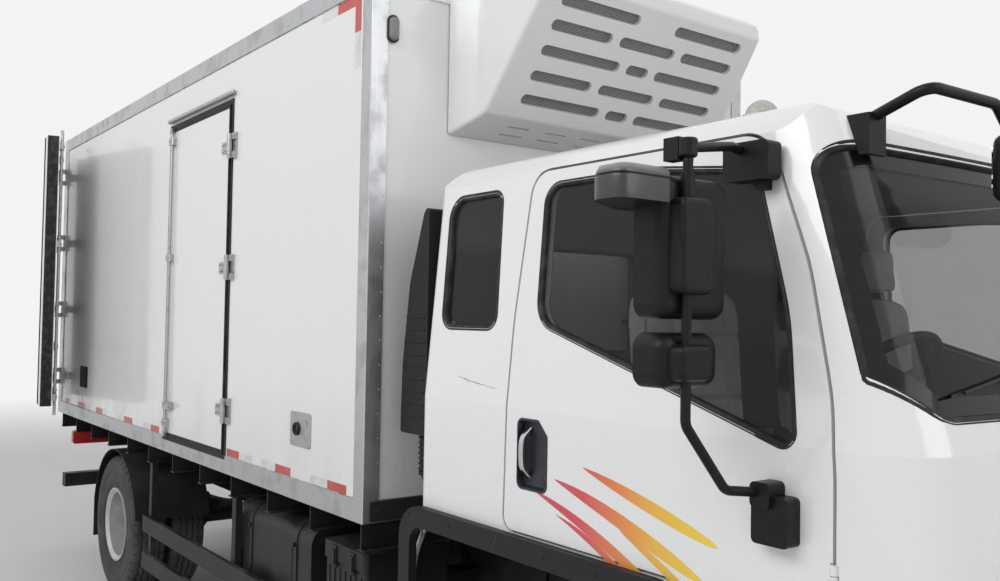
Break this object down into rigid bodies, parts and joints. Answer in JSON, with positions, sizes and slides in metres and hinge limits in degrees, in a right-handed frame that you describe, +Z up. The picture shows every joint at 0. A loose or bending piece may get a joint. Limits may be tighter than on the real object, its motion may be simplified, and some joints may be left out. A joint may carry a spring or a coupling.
{
  "type": "refrigerated truck",
  "caption": "Rigid refrigerated truck with a row-and-a-half cab, insulated box with rear and side doors, and a refrigeration unit over the cab.",
  "frame": {"origin": "on the ground under the middle of the truck's length and width", "axes": "+X forward, +Y to the truck's left, +Z up"},
  "size_m": [7.76, 3.15, 3.4],
  "materials": {
    "chassis_paint": "satin",
    "engine_grey": "rough",
    "tank_black": "satin",
    "black_plastic": "matt",
    "mirror_plastic": "satin",
    "black_rubber": "matt",
    "red_lens": "gloss",
    "clear_lens": "gloss",
    "white_panel": "gloss",
    "cab_white": "gloss",
    "aluminium": "satin",
    "stainless": "satin",
    "grille_grey": "satin",
    "window_glass": "gloss",
    "seat_cover": "matt",
    "tyre_rubber": "matt",
    "wheel_silver": "satin"
  },
  "bodies": {
    "chassis": {"chassis_frame": "chassis_paint", "front_axle": "chassis_paint", "rear_axle": "chassis_paint", "leaf_springs": "chassis_paint", "drive_train": "engine_grey", "tanks": "tank_black", "battery_box": "tank_black", "exhaust": "engine_grey", "guards": "chassis_paint", "buffers": "black_rubber", "tail_lamps": "red_lens", "mudguards": "black_plastic", "air_intake": "black_plastic", "box_subframe": "chassis_paint", "box_floor": "white_panel", "box_walls": "white_panel", "box_roof": "white_panel", "box_rails": "aluminium", "rear_frame": "aluminium", "box_fittings": "stainless", "side_door_frame": "black_rubber", "fridge_housing": "white_panel", "fridge_grille": "grille_grey"},
    "cab": {"cab_floor": "cab_white", "cab_back": "cab_white", "cab_front_panel": "cab_white", "cab_roof": "cab_white", "cab_windows": "window_glass", "front_bumper": "cab_white", "cab_lamps": "clear_lens", "cab_steps": "black_plastic", "grille": "cab_white", "front_mirror": "mirror_plastic", "dashboard": "black_plastic", "seats": "seat_cover"},
    "cab_door_left": {"cab_door_left": "cab_white", "cab_door_glass_left": "window_glass", "mirrors_left": "mirror_plastic"},
    "cab_door_right": {"cab_door_right": "cab_white", "cab_door_glass_right": "window_glass", "mirrors_right": "mirror_plastic"},
    "steering_wheel": {"steering_wheel": "black_plastic"},
    "knuckle_left": {"knuckle_left": "chassis_paint"},
    "knuckle_right": {"knuckle_right": "chassis_paint"},
    "tie_rod": {"tie_rod": "chassis_paint"},
    "front_wheel_left": {"front_tyre_left": "tyre_rubber", "front_wheel_left": "wheel_silver"},
    "front_wheel_right": {"front_tyre_right": "tyre_rubber", "front_wheel_right": "wheel_silver"},
    "rear_wheels_left": {"rear_tyres_left": "tyre_rubber", "rear_wheels_left": "wheel_silver"},
    "rear_wheels_right": {"rear_tyres_right": "tyre_rubber", "rear_wheels_right": "wheel_silver"},
    "rear_door_left": {"rear_door_left": "white_panel", "rear_door_gear_left": "stainless"},
    "rear_door_right": {"rear_door_right": "white_panel", "rear_door_gear_right": "stainless"},
    "side_door": {"side_door": "white_panel", "side_door_gear": "stainless"}
  },
  "joints": [
    {"name": "cab_tilt", "type": "hinge", "parent": "chassis", "child": "cab", "pos_m": [3.595, 0, 0.815], "axis": [0, 1, 0], "range_deg": [0, 45]},
    {"name": "cab_door_left", "type": "hinge", "parent": "cab", "child": "cab_door_left", "pos_m": [3.4205, 1.07, 1.15], "axis": [0, 0, -1], "range_deg": [0, 70]},
    {"name": "cab_door_right", "type": "hinge", "parent": "cab", "child": "cab_door_right", "pos_m": [3.4205, -1.07, 1.15], "axis": [0, 0, 1], "range_deg": [0, 70]},
    {"name": "knuckle_right", "type": "hinge", "parent": "chassis", "child": "knuckle_right", "pos_m": [2.49, -0.74, 0.47], "axis": [0, 0, 1], "range_deg": [-35, 35]},
    {"name": "knuckle_left", "type": "hinge", "parent": "chassis", "child": "knuckle_left", "pos_m": [2.49, 0.74, 0.47], "axis": [0, 0, 1], "range_deg": [-35, 35]},
    {"name": "tie_rod", "type": "hinge", "parent": "knuckle_right", "child": "tie_rod", "pos_m": [2.325, -0.74, 0.387], "axis": [0, 0, 1], "range_deg": [-35, 35]},
    {"name": "steering_wheel", "type": "hinge", "parent": "cab", "child": "steering_wheel", "pos_m": [3.19, -0.56, 1.77], "axis": [-0.6691, 0, 0.7431], "range_deg": [-420, 420]},
    {"name": "front_wheel_left", "type": "hinge", "parent": "knuckle_left", "child": "front_wheel_left", "pos_m": [2.49, 0.89, 0.47], "axis": [0, 1, 0], "continuous": true},
    {"name": "front_wheel_right", "type": "hinge", "parent": "knuckle_right", "child": "front_wheel_right", "pos_m": [2.49, -0.89, 0.47], "axis": [0, 1, 0], "continuous": true},
    {"name": "rear_wheels_left", "type": "hinge", "parent": "chassis", "child": "rear_wheels_left", "pos_m": [-2.23, 0.869, 0.47], "axis": [0, 1, 0], "continuous": true},
    {"name": "rear_wheels_right", "type": "hinge", "parent": "chassis", "child": "rear_wheels_right", "pos_m": [-2.23, -0.869, 0.47], "axis": [0, 1, 0], "continuous": true},
    {"name": "rear_door_left", "type": "hinge", "parent": "chassis", "child": "rear_door_left", "pos_m": [-3.834, 1.18, 2.24], "axis": [0, 0, -1], "range_deg": [0, 265]},
    {"name": "rear_door_right", "type": "hinge", "parent": "chassis", "child": "rear_door_right", "pos_m": [-3.834, -1.18, 2.24], "axis": [0, 0, 1], "range_deg": [-258, 7]},
    {"name": "side_door", "type": "hinge", "parent": "chassis", "child": "side_door", "pos_m": [-0.11, -1.164, 2.1], "axis": [0, 0, 1], "range_deg": [0, 160]}
  ],
  "couplings": [
    {"joint": "knuckle_left", "follows": "knuckle_right", "ratio": 1},
    {"joint": "tie_rod", "follows": "knuckle_right", "ratio": -1},
    {"joint": "steering_wheel", "follows": "knuckle_right", "ratio": 12}
  ]
}
